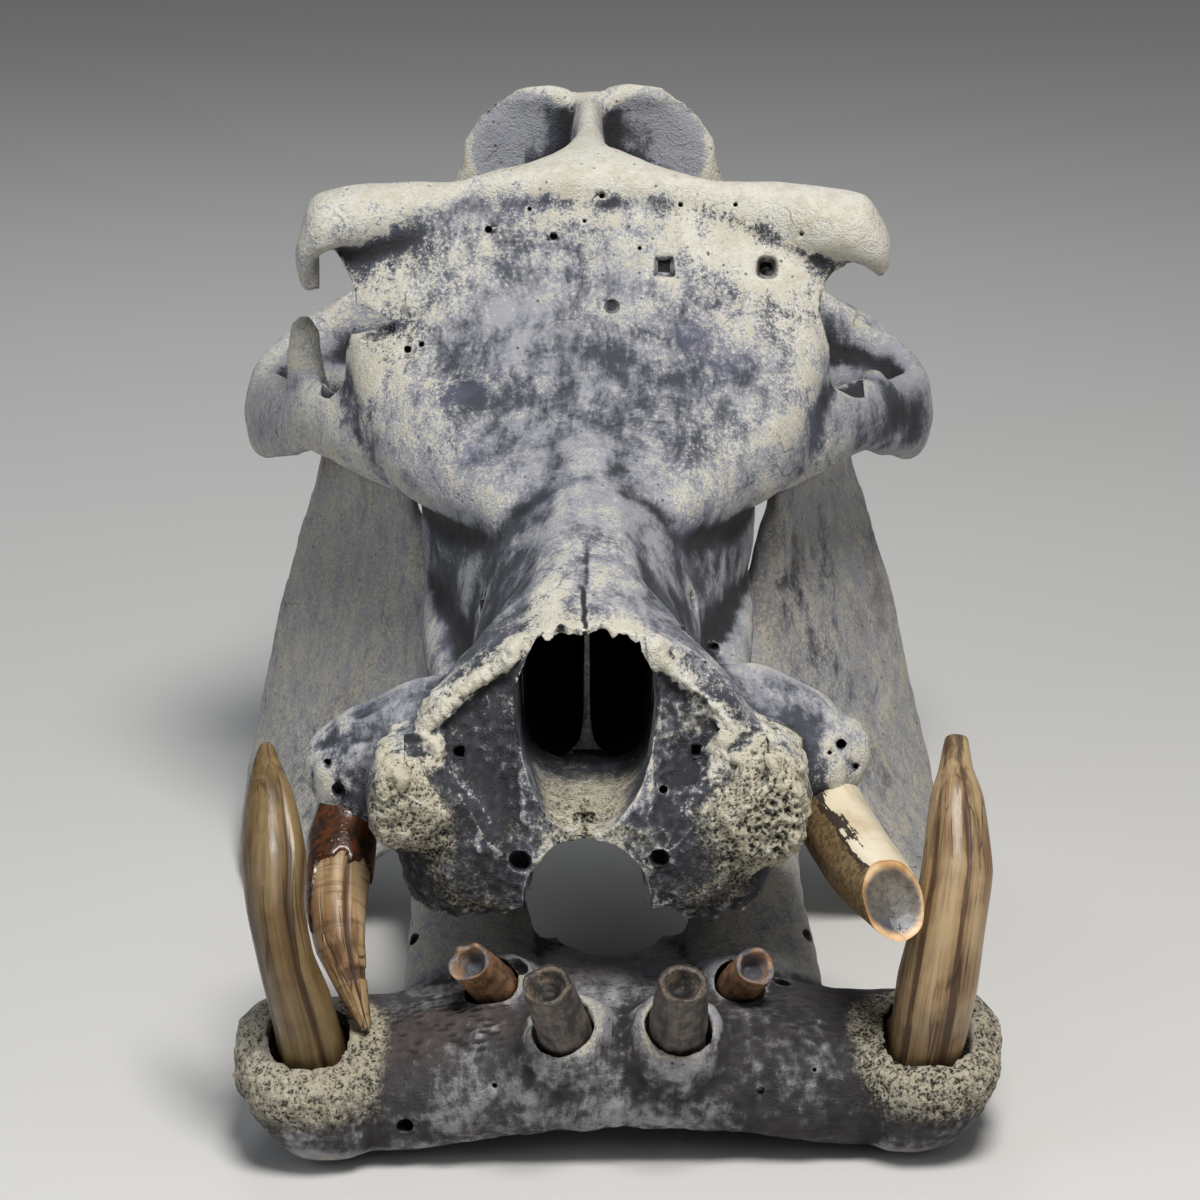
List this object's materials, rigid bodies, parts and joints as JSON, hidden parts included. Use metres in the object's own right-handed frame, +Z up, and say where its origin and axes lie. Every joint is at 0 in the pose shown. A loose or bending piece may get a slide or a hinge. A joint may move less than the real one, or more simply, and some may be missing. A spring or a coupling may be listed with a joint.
{
  "type": "fossil hippopotamus skull",
  "caption": "Life-size fossil hippopotamus cranium resting on its lower jaw, with curved tusks, broken incisor stubs, raised brow wings and an open nose.",
  "frame": {"origin": "on the ground, under the middle of the skull's bounding box", "axes": "+Z up, the nose points along -Y, +X is at the right of someone facing the nose"},
  "size_m": [0.4338, 0.7238, 0.4593],
  "materials": {
    "fossil_bone": "matt, mineralised bone with a cream crust",
    "jaw_bone": "matt, mineralised bone, darker than the cranium",
    "ivory": "polished ivory with brown grooves",
    "stained_ivory": "cracked ivory under amber resin",
    "worn_ivory": "smooth cream ivory with an oval worn end",
    "incisor": "broken brown dentine stubs"
  },
  "bodies": {
    "root": {"cranium": "fossil_bone", "lower_jaw": "jaw_bone", "upper_canine_left": "stained_ivory", "upper_canine_right": "worn_ivory", "lower_canine_left": "ivory", "lower_canine_right": "ivory", "lower_incisor_1_left": "incisor", "lower_incisor_1_right": "incisor", "lower_incisor_2_left": "incisor", "lower_incisor_2_right": "incisor"}
  },
  "joints": []
}
